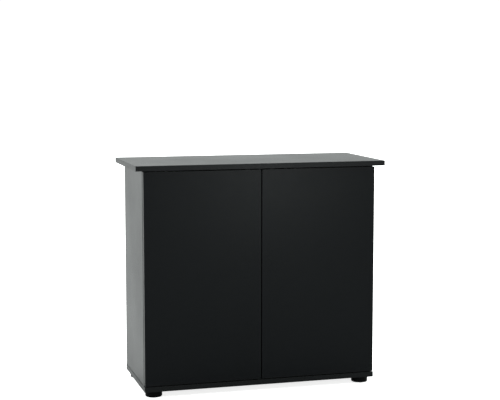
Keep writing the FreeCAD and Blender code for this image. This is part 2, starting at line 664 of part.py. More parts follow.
def make_cam_bolts():
    """Bolts screwed into the top panel, whose heads the cams pull down."""
    bolt = new_body("cam_bolt_piece")
    head_top = "(bolt_head_height - bolt_reach)"
    spin(bolt, [
        (0, "-bolt_reach"), ("bolt_head", "-bolt_reach"), ("bolt_head", head_top),
        ("bolt_shaft", head_top), ("bolt_shaft", 0), ("bolt_thread", 0),
        ("bolt_thread", "bolt_thread_length - bolt_thread"), (0, "bolt_thread_length"),
    ])
    places = [((f"{side} * ({SIDE_OUTER} - board / 2)", f"{end} * joint_reach", TOP_UNDERSIDE), UPWARDS)
              for side in (-1, 0, 1) for end in (-1, 1)]
    copies("cam_bolts", bolt, places)


def make_dowels():
    """Wooden dowels between the top panel and the uprights, and the sides and the back."""
    dowel = new_body("dowel_piece")
    spin(dowel, [
        (0, "-dowel_short"), ("dowel_radius - dowel_bevel", "-dowel_short"),
        ("dowel_radius", "dowel_bevel - dowel_short"), ("dowel_radius", "dowel_long - dowel_bevel"),
        ("dowel_radius - dowel_bevel", "dowel_long"), (0, "dowel_long"),
    ])
    top = [((f"{side} * ({SIDE_OUTER} - board / 2)", f"{end} * dowel_reach", TOP_UNDERSIDE), DOWNWARDS)
           for side in (-1, 0, 1) for end in (-1, 1)]
    back = [((f"{side} * {SIDE_INNER}", f"{REAR} - board / 2", f"{BASE_TOP} + {height}"), direction)
            for side, direction in ((-1, RIGHTWARDS), (1, LEFTWARDS)) for height in back_dowel_heights()]
    copies("wooden_dowels", dowel, top + back)


def make_base_screws():
    """Long screws up through the base panel, with hexagon sockets in flush heads."""
    screw = new_body("base_screw_piece")
    spin(screw, [
        (0, 0), ("base_screw_head", 0), ("base_screw_head", "-base_screw_head_height"),
        ("base_screw_shank", "-base_screw_head_height"), ("base_screw_shank", "-board"),
        ("base_screw_thread", "-board"), ("base_screw_thread", "wood_screw_tip - base_screw_length"),
        (0, "-base_screw_length"),
    ])
    key = new_sketch(screw, "z", 0)
    half = "base_screw_key / 2"
    flat = "base_screw_key * sqrt(3) / 2"
    add_outline(key, [("base_screw_key", 0), (half, flat), (f"-{half}", flat),
                      ("-base_screw_key", 0), (f"-{half}", f"-{flat}"), (half, f"-{flat}")])
    pocket(screw, key, "base_screw_head_height / 2")
    copies("base_screws", screw, [((across, along, "foot_height"), DOWNWARDS)
                                  for across, along in base_screw_spots()])


def screw_piece(name, head, head_height, thread, length):
    """Make a small screw: its head stands on its own origin and its thread runs down from it."""
    screw = new_body(name)
    spin(screw, [
        (0, head_height), (head, head_height), (head, 0), (thread, 0),
        (thread, f"wood_screw_tip - ({length})"), (0, f"-({length})"),
    ])
    cross_recess(screw, head_height)
    return screw


def make_back_screws():
    """Screws through the back panel into the partition, with sunk heads."""
    screw = screw_piece("back_screw_piece", "wood_screw_head", "wood_screw_head_height",
                        "back_screw_thread", "back_screw_length - wood_screw_head_height")
    head_floor = f"{REAR} - wood_screw_head_height"
    copies("back_panel_screws", screw, [((0, head_floor, f"{BASE_TOP} + {height}"), BACKWARDS)
                                        for height in back_screw_heights()])


def make_shelf_pins():
    """Steel pins that hold the shelf's four corners."""
    pin = doc.addObject("Part::Cylinder", "shelf_pin_piece")
    bind(pin, Radius="pin_radius", Height="pin_sunk + pin_proud")
    reach = f"({SIDE_INNER} + pin_sunk)"
    left = [((f"-{reach}", column, PIN_HEIGHT), RIGHTWARDS) for column in PIN_COLUMNS]
    middle = [(("pin_sunk - board / 2", column, PIN_HEIGHT), LEFTWARDS) for column in PIN_COLUMNS]
    copies("shelf_pins", pin, left + middle)


# ---- hinges ----
# A hinge is drawn for the left door.  Its own X runs inwards from the side panel's outer face, its
# Y backwards from the carcass front, and its Z from its middle.  It is alike above and below its
# middle, so turned half way round Y it fits the right door.

def place_hinge_piece(piece, side, height):
    """Put a hinge's piece on its side of the cabinet."""
    place(piece, (f"{SIDES[side]} * {SIDE_OUTER}", CARCASS_FRONT, height))
    if side == "right":
        half_turn = FreeCAD.Rotation(BACKWARDS, 180)
        piece.Placement = FreeCAD.Placement(piece.Placement.Base, half_turn)


def make_hinge_arm(side, level):
    """Steel arm from the knuckle in the cup, round the bend and back over the plate."""
    arm = new_body(f"{side}_{level}_hinge_arm")
    knuckle = new_sketch(arm, "z")
    pivot = ("pivot_across", "-pivot_ahead")
    add_circle(knuckle, pivot, "knuckle")
    pad(arm, knuckle, "2 * knuckle_half", middle=True)
    outer = "(arm_across + arm_sheet)"
    neck_front = "(-pivot_ahead - arm_sheet / 2)"
    neck_rear = "(-pivot_ahead + arm_sheet / 2)"
    neck = new_sketch(arm, "z")
    add_outline(neck, [
        ("pivot_across", neck_front), (outer, neck_front), (outer, "arm_end"),
        ("arm_across", "arm_end"), ("arm_across", neck_rear), ("pivot_across", neck_rear),
    ])
    pad(arm, neck, "2 * knuckle_half", middle=True)
    bends = {(value(outer), value(neck_front)): "arm_bend",
             (value("arm_across"), value(neck_rear)): "arm_bend - arm_sheet"}
    for (across, along), radius in bends.items():
        round_edges(arm, radius, lambda middle, span: near(middle.x, across) and near(middle.y, along))
    channel = new_sketch(arm, "z")
    add_rectangle(channel, ("arm_across - arm_skirt", "arm_channel"), (outer, "arm_end"))
    pad(arm, channel, "2 * arm_half", middle=True)
    hollow = new_sketch(arm, "z")
    add_rectangle(hollow, ("arm_across - arm_skirt", "arm_channel"), ("arm_across", "arm_end"))
    pocket(arm, hollow, "2 * arm_skirt_gap", middle=True)
    bore = new_sketch(arm, "z")
    add_circle(bore, pivot, "hinge_pin + fit")
    pocket(arm, bore, "2 * knuckle_half", middle=True)
    drill(arm, "x", outer, -1, [("arm_screw_front", 0), ("arm_screw_rear", 0)], "arm_hole", "arm_sheet")
    place_hinge_piece(arm, side, HINGE_HEIGHTS[level])
    keep(arm, arm.Name)


def make_hinge_cup(side, level):
    """Cup in the door's back, with a screwed flange and two ears that hold the pin."""
    cup = new_body(f"{side}_{level}_hinge_cup")
    door_rear = "-door_gap"
    rim = "(cup_flange - door_gap)"
    barrel = new_sketch(cup, "y", door_rear)
    add_circle(barrel, ("cup_across", 0), "cup_radius")
    pad(cup, barrel, "cup_deep", -1)
    for shape in ("round", "wings"):
        flange = new_sketch(cup, "y", rim)
        if shape == "round":
            add_circle(flange, ("cup_across", 0), "cup_flange_round")
        else:
            add_rectangle(flange, ("cup_wing_near", "-cup_wing_half"), ("cup_wing_far", "cup_wing_half"))
        pad(cup, flange, "cup_flange", -1)
    round_edges(cup, "wing_round", lambda middle, span: near(span.x, 0)
                and near(abs(middle.z), value("cup_wing_half")))
    hollow = new_sketch(cup, "y", rim)
    arc = add_arc(hollow, ("cup_across", 0), "cup_inside", -120, 120)
    rise = "sqrt(cup_inside ^ 2 - (cup_across - cup_ear) ^ 2)"
    chord = add_line(hollow, ("cup_ear", rise), ("cup_ear", f"-{rise}"))
    join(hollow, arc, 2, chord, 1)
    join(hollow, chord, 2, arc, 1)
    hold(hollow, "DistanceX", chord, 1, "cup_ear")
    hold(hollow, "DistanceX", chord, 2, "cup_ear")
    inside_depth = "cup_deep + cup_flange - cup_floor"
    pocket(cup, hollow, inside_depth)
    slot = new_sketch(cup, "y", rim)
    add_rectangle(slot, ("cup_slot", "-cup_slot_half"), ("cup_across", "cup_slot_half"))
    pocket(cup, slot, inside_depth)
    bore = new_sketch(cup, "z")
    add_circle(bore, ("pivot_across", "-pivot_ahead"), "hinge_pin + fit")
    pocket(cup, bore, "2 * hinge_pin_half + spare", middle=True)
    holes = [("cup_screw_across", f"{end} * cup_screw_half") for end in (-1, 1)]
    drill(cup, "y", rim, -1, holes, "wood_screw_thread + fit", "cup_flange")
    place_hinge_piece(cup, side, HINGE_HEIGHTS[level])
    keep(cup, cup.Name)


def make_hinge_plates():
    """Cross-shaped mounting plates on the side panels' inner faces."""
    plate = new_body("hinge_plate_piece")
    wings = new_sketch(plate, "z")
    add_rectangle(wings, ("board", "plate_centre - plate_wing_half_width"),
                  ("board + plate_sheet", "plate_centre + plate_wing_half_width"))
    pad(plate, wings, "2 * plate_wing_half", middle=True)
    spine = new_sketch(plate, "z")
    add_rectangle(spine, ("board", "plate_spine_front"), ("arm_across", "plate_spine_rear"))
    pad(plate, spine, "2 * plate_spine_half", middle=True)
    wing_holes = [("plate_centre", f"{end} * plate_screw_half") for end in (-1, 1)]
    drill(plate, "x", "arm_across", -1, wing_holes, "plate_screw_thread + fit", "arm_across - board")
    arm_holes = [("arm_screw_front", 0), ("arm_screw_rear", 0)]
    drill(plate, "x", "arm_across", -1, arm_holes, "arm_screw_shank + fit", "arm_across - board")
    plates = []
    for side in SIDES:
        for height in HINGE_HEIGHTS.values():
            plates.append(new_copy(plate))
            place_hinge_piece(plates[-1], side, height)
    gather("hinge_mounting_plates", plates)


def hinge_places(side, across, along, offsets):
    """Places of screws that stand on one side's hinges, pointing away from the side panel."""
    sign = SIDES[side]
    from_middle = f"{sign} * ({SIDE_OUTER} - ({across}))"
    return [(from_middle, f"{CARCASS_FRONT} + {along}", f"{height} + {offset}")
            for height in HINGE_HEIGHTS.values() for offset in offsets]


def make_hinge_screws():
    """Screws of the mounting plates and arms."""
    inwards = {"left": RIGHTWARDS, "right": LEFTWARDS}
    plate_screw = screw_piece("plate_screw_piece", "wood_screw_head", "wood_screw_head_height",
                              "plate_screw_thread", "plate_screw_length")
    heights = ("-plate_screw_half", "plate_screw_half")
    copies("hinge_plate_screws", plate_screw, [
        (spot, inwards[side]) for side in SIDES
        for spot in hinge_places(side, "board + plate_sheet", "plate_centre", heights)
    ])
    arm_screw = screw_piece("arm_screw_piece", "arm_screw_head", "arm_screw_head_height",
                            "arm_screw_shank", "arm_sheet + arm_across - board - fit")
    copies("hinge_arm_screws", arm_screw, [
        (spot, inwards[side]) for side in SIDES for along in ("arm_screw_front", "arm_screw_rear")
        for spot in hinge_places(side, "arm_across + arm_sheet", along, ("0",))
    ])


def make_door_hinge_fasteners(side):
    """Pins in the cups' ears and screws in the cups' flanges of one door."""
    pin = doc.addObject("Part::Cylinder", f"{side}_hinge_pin_piece")
    bind(pin, Radius="hinge_pin", Height="2 * hinge_pin_half")
    pin_spots = hinge_places(side, "pivot_across", "-pivot_ahead", ("-hinge_pin_half",))
    copies(f"{side}_door_hinge_pins", pin, [(spot, UPWARDS) for spot in pin_spots])
    screw = screw_piece(f"{side}_cup_screw_piece", "wood_screw_head", "wood_screw_head_height",
                        "wood_screw_thread", "cup_screw_length")
    screw_spots = hinge_places(side, "cup_screw_across", "(cup_flange - door_gap)",
                               ("-cup_screw_half", "cup_screw_half"))
    copies(f"{side}_cup_screws", screw, [(spot, BACKWARDS) for spot in screw_spots])


# ---- push latches ----

def make_latch_housing(side):
    """Latch housing under the top panel: a bored barrel with two screw ears."""
    housing = new_body(f"{side}_latch_housing")
    profile = new_sketch(housing, "y")
    barrel = add_arc(profile, (0, 0), "latch_radius", 180, 360)
    corners = [("latch_radius", 0), ("latch_radius", "latch_drop"),
               ("-latch_radius", "latch_drop"), ("-latch_radius", 0)]
    walls = [add_line(profile, start, end) for start, end in zip(corners, corners[1:])]
    join(profile, barrel, 2, walls[0], 1)
    join(profile, walls[0], 2, walls[1], 1)
    join(profile, walls[1], 2, walls[2], 1)
    join(profile, walls[2], 2, barrel, 1)
    hold(profile, "DistanceY", barrel, 1, 0)
    hold(profile, "DistanceY", barrel, 2, 0)
    for wall, (across, up) in zip(walls[1:], corners[1:]):
        hold(profile, "DistanceX", wall, 1, across)
        hold(profile, "DistanceY", wall, 1, up)
    pad(housing, profile, "latch_length")
    ears = new_sketch(housing, "z", "latch_drop")
    add_rectangle(ears, ("-latch_ear_half", "latch_ear_start"),
                  ("latch_ear_half", "latch_ear_start + latch_ear_length"))
    pad(housing, ears, "latch_ear_sheet", -1)
    drill(housing, "y", 0, 1, [(0, 0)], "plunger_radius + fit", "latch_bore_depth")
    holes = [(f"{ear} * latch_screw_half", "latch_ear_start + latch_ear_length / 2") for ear in (-1, 1)]
    drill(housing, "z", "latch_drop", -1, holes, "wood_screw_thread + fit", "latch_ear_sheet")
    place(housing, (f"{SIDES[side]} * latch_across", LATCH_FRONT, LATCH_HEIGHT))
    keep(housing, housing.Name)


def make_latch_plunger(side):
    """Plunger that pushes the door open, with a magnet in its tip."""
    across = f"{SIDES[side]} * latch_across"
    tip = f"{LATCH_FRONT} + fit"
    plunger = doc.addObject("Part::Cylinder", f"{side}_latch_plunger")
    bind(plunger, Radius="plunger_radius", Height="plunger_length")
    place(plunger, (across, tip, LATCH_HEIGHT), BACKWARDS)
    keep(plunger, plunger.Name)
    magnet = doc.addObject("Part::Cylinder", f"{side}_latch_magnet")
    bind(magnet, Radius="magnet_radius", Height="magnet_length")
    place(magnet, (across, tip, LATCH_HEIGHT), FORWARDS)
    keep(magnet, magnet.Name)


def make_latch_screws():
    """Screws that hold the latch housings under the top panel."""
    screw = screw_piece("latch_screw_piece", "wood_screw_head", "wood_screw_head_height",
                        "wood_screw_thread", "latch_screw_length")
    along = f"{LATCH_FRONT} + latch_ear_start + latch_ear_length / 2"
    ear_underside = f"{TOP_UNDERSIDE} - latch_ear_sheet"
    copies("latch_screws", screw, [
        ((f"{side} * latch_across + {ear} * latch_screw_half", along, ear_underside), DOWNWARDS)
        for side in (-1, 1) for ear in (-1, 1)
    ])


def make_strike(side):
    """Steel plate on the door that the latch's magnet holds, and its screw."""
    across = f"{SIDES[side]} * latch_across"
    plate = new_body(f"{side}_strike_plate")
    outline = new_sketch(plate, "y")
    add_rectangle(outline, ("-strike_half", "-strike_below"), ("strike_half", "strike_above"))
    pad(plate, outline, "strike_sheet")
    round_edges(plate, "wing_round", lambda middle, span: near(span.x, 0) and near(span.z, 0))
    drill(plate, "y", 0, 1, [(0, "-strike_screw_below")], "wood_screw_thread + fit", "strike_sheet")
    place(plate, (across, DOOR_REAR, LATCH_HEIGHT))
    keep(plate, plate.Name)
    screw = screw_piece(f"{side}_strike_screw_piece", "wood_screw_head", "wood_screw_head_height",
                        "wood_screw_thread", "strike_screw_length")
    copies(f"{side}_strike_screw", screw, [
        ((across, f"{DOOR_REAR} + strike_sheet", f"{LATCH_HEIGHT} - strike_screw_below"), BACKWARDS)
    ])


# ---- feet ----

def make_foot_sockets():
    """Flanged threaded sockets pressed into the base panel from below."""
    socket = new_body("foot_socket_piece")
    spin(socket, [
        ("stud_radius + fit", 0), ("socket_flange", 0), ("socket_flange", "socket_flange_sheet"),
        ("socket_barrel", "socket_flange_sheet"), ("socket_barrel", "socket_length"),
        ("stud_radius + fit", "socket_length"),
    ])
    spots = foot_spots().values()
    copies("foot_sockets", socket, [((across, along, "foot_height"), UPWARDS) for across, along in spots])


def make_foot(corner, spot):
    """Round foot with its threaded stud."""
    foot = new_body(f"{corner}_foot")
    height = "(foot_height - foot_gap)"
    spin(foot, [(0, 0), ("foot_radius", 0), ("foot_radius", height), (0, height)])
    round_edges(foot, "foot_low_round", lambda middle, span: near(middle.z, 0) and not near(span.x, 0))
    round_edges(foot, "foot_high_round", lambda middle, span: near(middle.z, value(height)))
    drill(foot, "z", height, -1, [(0, 0)], "stud_radius + fit", f"{height} - stud_low")
    place(foot, (*spot, 0))
    keep(foot, foot.Name)
    stud = doc.addObject("Part::Cylinder", f"{corner}_foot_stud")
    bind(stud, Radius="stud_radius", Height="stud_high - stud_low")
    place(stud, (*spot, "stud_low"))
    keep(stud, stud.Name)


# ---- the whole cabinet ----

def build():
    """Make every sub-part."""
    make_top_panel()
    make_base_panel()
    for side in SIDES:
        make_side_panel(side)
    make_centre_partition()
    make_upright_edging()
    make_back_panel()
    make_shelf()
    make_cam_locks()
    make_cam_bolts()
    make_dowels()
    make_base_screws()
    make_back_screws()
    make_shelf_pins()
    make_hinge_plates()
    make_hinge_screws()
    make_latch_screws()
    make_foot_sockets()
    for side in SIDES:
        make_latch_housing(side)
        make_latch_plunger(side)
        make_door(side)
        make_strike(side)
        make_door_hinge_fasteners(side)
        for level in HINGE_HEIGHTS:
            make_hinge_arm(side, level)
            make_hinge_cup(side, level)
    for corner, spot in foot_spots().items():
        make_foot(corner, spot)
    doc.recompute()


def check():
    """Stop if any object failed or any sub-part has no sound shape."""
    failed = [thing.Name for thing in doc.Objects if {"Invalid", "Error"} & set(thing.State)]
    unsound = [part.Label for part in sub_parts if part.Shape.isNull() or not part.Shape.isValid()]
    if failed or unsound:
        raise RuntimeError(f"failed objects: {failed}; unsound shapes: {unsound}")


def export():
    """Write each sub-part's shape to a file that has its name."""
    os.makedirs("parts", exist_ok=True)
    for part in sub_parts:
        part.Shape.exportStep(os.path.join("parts", part.Label + ".step"))
        print(f"{part.Label:26} {len(part.Shape.Solids):2} solids, {part.Shape.BoundBox}")


build()
check()
export()
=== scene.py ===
import json
import math

import bmesh
import bpy
from mathutils import Euler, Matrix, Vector


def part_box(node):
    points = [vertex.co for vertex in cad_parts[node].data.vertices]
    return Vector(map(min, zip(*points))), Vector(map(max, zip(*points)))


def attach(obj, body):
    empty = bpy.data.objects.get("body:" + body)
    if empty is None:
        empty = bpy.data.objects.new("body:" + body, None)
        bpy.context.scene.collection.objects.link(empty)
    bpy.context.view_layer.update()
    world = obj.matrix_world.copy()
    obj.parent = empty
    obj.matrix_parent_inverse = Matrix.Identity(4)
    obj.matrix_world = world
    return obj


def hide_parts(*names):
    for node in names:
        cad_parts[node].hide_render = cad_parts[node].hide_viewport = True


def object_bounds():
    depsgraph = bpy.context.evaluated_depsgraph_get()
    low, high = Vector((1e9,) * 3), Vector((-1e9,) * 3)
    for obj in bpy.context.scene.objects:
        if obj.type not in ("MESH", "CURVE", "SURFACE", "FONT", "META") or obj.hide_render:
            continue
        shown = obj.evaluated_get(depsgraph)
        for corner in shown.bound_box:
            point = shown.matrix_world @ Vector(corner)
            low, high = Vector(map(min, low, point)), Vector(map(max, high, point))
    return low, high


# Aquarium stand cabinet in black melamine.  Metres, +Z up, the doors face -Y, the origin is on the
# floor at the middle of the footprint.

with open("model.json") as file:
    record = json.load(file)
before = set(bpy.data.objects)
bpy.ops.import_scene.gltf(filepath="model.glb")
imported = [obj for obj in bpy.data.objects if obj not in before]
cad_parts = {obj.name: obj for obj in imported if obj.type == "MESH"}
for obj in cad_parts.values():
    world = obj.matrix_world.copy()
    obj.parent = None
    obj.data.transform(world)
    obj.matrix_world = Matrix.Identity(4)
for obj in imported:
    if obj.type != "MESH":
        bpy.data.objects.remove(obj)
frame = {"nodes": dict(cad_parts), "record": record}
cad_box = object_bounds()

CORNERS = ("front_left", "front_right", "rear_left", "rear_right")

# Camera: standing a little to the left, at eye height for a seated person, looking slightly down.
CAMERA_PLACE = (-1.1099, -3.9651, 1.0582)
CAMERA_YAW = math.radians(15.725)
CAMERA_PITCH = math.radians(6.411)
CAMERA_LENS = 91.37
SENSOR_WIDTH = 36.0
VIEW_DISTANCE = 200.0

# Patterns: how fine they are per metre, and where most of a noise pattern's values lie.
SMUDGES = 3.1
GRAIN = 620.0
PORES = 1100.0
FLAKES = 420.0
FIBRES = 900.0
BAND_DRAG = 260.0
BAND_SPOTS = 90.0
PLATING_CLOUDS = 60.0
DRAWN_LINES = 400.0
MOULD_TEXTURE = 1500.0
PLASTIC_CLOUDS = 35.0
BEECH_GRAIN = 300.0
PAPER_FIBRES = 40.0
MIDDLE = (0.3, 0.7)
UPPER_MIDDLE = (0.35, 0.7)
NONE_TO_ALL = (0.0, 1.0)
EDGE_TURN = (0.98, 0.80)          # cosine of the turn at an edge where wear starts, and is full

# Boards: colours are clean and rubbed, the inside pair painted lighter as painted light; chipboard
# stops are dark to light.
SKIN = 0.0003                     # thickness of the melamine faces
OUTSIDE_BLACK = ((0.0013, 0.0020, 0.0026), (0.0030, 0.0038, 0.0045))
INSIDE_BLACK_PAINTED_LIGHT = ((0.0150, 0.0160, 0.0165), (0.0300, 0.0310, 0.0315))
BOARD_SPECULAR = 0.07
BOARD_SHEEN = (0.27, 0.34)
GRAIN_SHEEN = (-0.02, 0.02)
SMUDGE_SHARE = (0.0, 0.7)
PORE_EDGES = (0.05, 0.45)
MELAMINE_RELIEF = 0.12            # share of the relief of bare chipboard
BOARD_RELIEF = 0.0004
CHIP_ROUGHNESS = 0.85
CHIP_STOPS = (
    (0.0, (0.085, 0.058, 0.034)),
    (0.45, (0.19, 0.135, 0.083)),
    (1.0, (0.32, 0.245, 0.165)),
)

# Edge bands
BAND_BLACK = (0.0042, 0.0047, 0.0049)
BAND_WORN = (0.0140, 0.0148, 0.0150)
BAND_SPECULAR = 0.09
BAND_ROUGHNESS = (0.30, 0.42)
BAND_WEAR = (0.1, 0.8)
BAND_WEAR_WIDTH = 0.0006
BAND_RELIEF = 0.0001

# Beech dowels
BEECH_SPECULAR = 0.3
BEECH_STOPS = ((0.3, (0.42, 0.25, 0.12)), (0.7, (0.70, 0.48, 0.28)))
BEECH_ROUGHNESS = (0.55, 0.75)
BEECH_STRETCH = (1.0, 1.0, 0.1)   # the grain runs along Z
BEECH_RELIEF = 0.0002

# Metals: name, dull and bright colour, roughness, depth of the drawn lines.
METALS = (
    ("nickelled_steel", ((0.52, 0.50, 0.46), (0.72, 0.70, 0.66)), (0.20, 0.32), 0.00002),
    ("zinc_plated_steel", ((0.46, 0.48, 0.50), (0.68, 0.70, 0.72)), (0.30, 0.45), 0.00003),
)
DRAWN_STRETCH = (1.0, 1.0, 0.08)  # the drawn lines run along Z
DRAWN_SHEEN = (-0.04, 0.04)
METAL_WEAR_WIDTH = 0.0005

# Plastics: name, dark and light colour, roughness, specular level.
PLASTICS = (
    ("grey_plastic", ((0.020, 0.021, 0.022), (0.028, 0.029, 0.030)), (0.42, 0.55), 0.4),
    ("black_plastic", ((0.0008, 0.0009, 0.0010), (0.0018, 0.0020, 0.0022)), (0.40, 0.52), 0.04),
)
MOULD_RELIEF = 0.00012
PLASTIC_WEAR = (0.0, 0.7)
PLASTIC_WEAR_WIDTH = 0.0012
SCUFF_BRIGHTENING = 2.0

# Width of the bevel on the sharp edges of the pieces from the frame.
EDGE_ROUNDING = {
    "black_board": 0.00015,
    "black_edge_band": 0.00035,
    "nickelled_steel": 0.0003,
    "zinc_plated_steel": 0.0002,
    "grey_plastic": 0.0006,
    "black_plastic": 0.0008,
    "beech": 0.0002,
}
SHARP_ANGLE = math.radians(40)

# Threaded studs of the levelling feet
STUD_PITCH = 0.00125
STUD_THREAD_DEPTH = 0.0007
STUD_END_BEVEL = 0.0002
STUD_SIDES = 32
STUD_ROWS_PER_TURN = 6

# Stage
WHITE = (1.0, 1.0, 1.0)
STUDIO_WHITE = (0.955, 1.0, 0.985)
SURROUNDINGS = (0.34, 1.12)       # light from in front of the doors, and from behind the cabinet
SURROUNDINGS_TURN = (-0.6, 0.6)   # where the one passes into the other, along Y
BACKGROUND = 1.05                 # the surroundings in view
PAPER_WHITE = ((0.86, 0.86, 0.86), (0.90, 0.90, 0.90))
PAPER_ROUGHNESS = (0.9, 1.0)
PAPER_RELIEF = 0.0002
PAPER_GLOW = 0.80                 # lifts the shadows on the paper, in view
MIRRORED_PAPER_GLOW = 0.12        # the same, in the paper's reflection in the cabinet
FLOOR_RADIUS = 60.0
FLOOR_SIDES = 64
FLOOR_DROP = 0.0002               # floor below the feet

# Lights: a wide sun overhead, and a soft square box in front of the doors, to the right.
OVERHEAD_PLACE = (-2.0, 1.0, 6.0)
OVERHEAD_TARGET = (0.0, 0.0, 0.4)
OVERHEAD_STRENGTH = 3.1
OVERHEAD_SPREAD = math.radians(120)
FRONT_BOX_PLACE = (0.70, -2.60, 0.62)
FRONT_BOX_TARGET = (0.0, 0.0, 0.62)
FRONT_BOX_POWER = 9.4
FRONT_BOX_SIDE = 0.5


# ---- node helpers ----

# The Mix node's sockets by number, because those for numbers and for colours share their names.
NUMBER_INPUTS = (2, 3)
NUMBER_OUTPUT = 0
COLOUR_INPUTS = (6, 7)
COLOUR_OUTPUT = 2


def add(tree, kind, inputs=None, **settings):
    """Add a shader node with its settings and its unlinked input values."""
    item = tree.nodes.new("ShaderNode" + kind)
    for name, setting in settings.items():
        setattr(item, name, setting)
    for name, given in (inputs or {}).items():
        item.inputs[name].default_value = given
    return item


def plug(tree, socket, source):
    """Give a socket a source, which is another socket, a number or a colour."""
    if isinstance(source, bpy.types.NodeSocket):
        tree.links.new(source, socket)
    elif isinstance(source, tuple):
        socket.default_value = (*source, 1.0)
    else:
        socket.default_value = source


def object_places(tree):
    """Places on the object in metres, which move with it."""
    return add(tree, "TexCoord").outputs["Object"]


def noise(tree, fineness, detail, roughness=0.6, stretch=None):
    """A grey pattern of a given fineness, stretched along one axis if asked."""
    places = object_places(tree)
    if stretch:
        mapping = add(tree, "Mapping", {"Scale": stretch})
        tree.links.new(places, mapping.inputs["Vector"])
        places = mapping.outputs["Vector"]
    pattern = add(tree, "TexNoise", {"Scale": fineness, "Detail": detail, "Roughness": roughness})
    tree.links.new(places, pattern.inputs["Vector"])
    return pattern.outputs["Fac"]


def cells(tree, fineness, output):
    """A pattern of small cells of a given fineness."""
    pattern = add(tree, "TexVoronoi", {"Scale": fineness})
    tree.links.new(object_places(tree), pattern.inputs["Vector"])
    return pattern.outputs[output]


def spread(tree, source, old, new):
    """Map a grey pattern from one range to another."""
    limits = dict(zip(("From Min", "From Max", "To Min", "To Max"), (*old, *new)))
    item = add(tree, "MapRange", limits)
    tree.links.new(source, item.inputs["Value"])
    return item.outputs["Result"]


def calculate(tree, operation, *sources):
    """Work out one number from one or two sources, each a socket or a number."""
    item = add(tree, "Math", operation=operation)
    for socket, source in zip(item.inputs, sources):
        plug(tree, socket, source)
    return item.outputs["Value"]


def mix_colours(tree, share, first, second):
    """Mix two colours, each a socket or a colour, by a grey pattern."""
    item = add(tree, "Mix", data_type="RGBA")
    plug(tree, item.inputs["Factor"], share)
    for place, source in zip(COLOUR_INPUTS, (first, second)):
        plug(tree, item.inputs[place], source)
    return item.outputs[COLOUR_OUTPUT]


def mix_numbers(tree, share, first, second):
    """Mix two numbers, each a socket or a number, by a grey pattern."""
    item = add(tree, "Mix", data_type="FLOAT")
    plug(tree, item.inputs["Factor"], share)
    for place, source in zip(NUMBER_INPUTS, (first, second)):
        plug(tree, item.inputs[place], source)
    return item.outputs[NUMBER_OUTPUT]


def ramp(tree, source, stops):
    """Colour a grey pattern with a few stops."""
    item = add(tree, "ValToRGB")
    elements = item.color_ramp.elements
    while len(elements) < len(stops):
        elements.new(0.5)
    for element, (position, colour) in zip(elements, stops):
        element.position = position
        element.color = (*colour, 1.0)
    tree.links.new(source, item.inputs["Fac"])
    return item.outputs["Color"]


def edge_wear(tree, radius, broken_by):
    """White where the surface turns an edge within a radius, broken up by a grey pattern."""
    rounded = add(tree, "Bevel", {"Radius": radius}, samples=4)
    flat = add(tree, "NewGeometry")
    along = add(tree, "VectorMath", operation="DOT_PRODUCT")
    tree.links.new(rounded.outputs["Normal"], along.inputs[0])
    tree.links.new(flat.outputs["Normal"], along.inputs[1])
    turned = spread(tree, along.outputs["Value"], EDGE_TURN, NONE_TO_ALL)
    return calculate(tree, "MULTIPLY", turned, broken_by)


def bump(tree, height, depth, strength):
    """Turn a grey pattern into relief of a depth in metres."""
    item = add(tree, "Bump", {"Strength": strength, "Distance": depth})
    tree.links.new(height, item.inputs["Height"])
    return item.outputs["Normal"]


def new_material(name, metallic=0.0, specular=0.5):
    """Start a material; the caller links its colour, roughness and normal."""
    material = bpy.data.materials.new(name)
    material.use_nodes = True
    shader = material.node_tree.nodes["Principled BSDF"]
    shader.inputs["Metallic"].default_value = metallic
    shader.inputs["Specular IOR Level"].default_value = specular
    return material, material.node_tree, shader


def connect(tree, shader, colour, roughness, normal):
    """Link the three patterns that give a surface its look."""
    tree.links.new(colour, shader.inputs["Base Color"])
    tree.links.new(roughness, shader.inputs["Roughness"])
    tree.links.new(normal, shader.inputs["Normal"])


# ---- materials ----

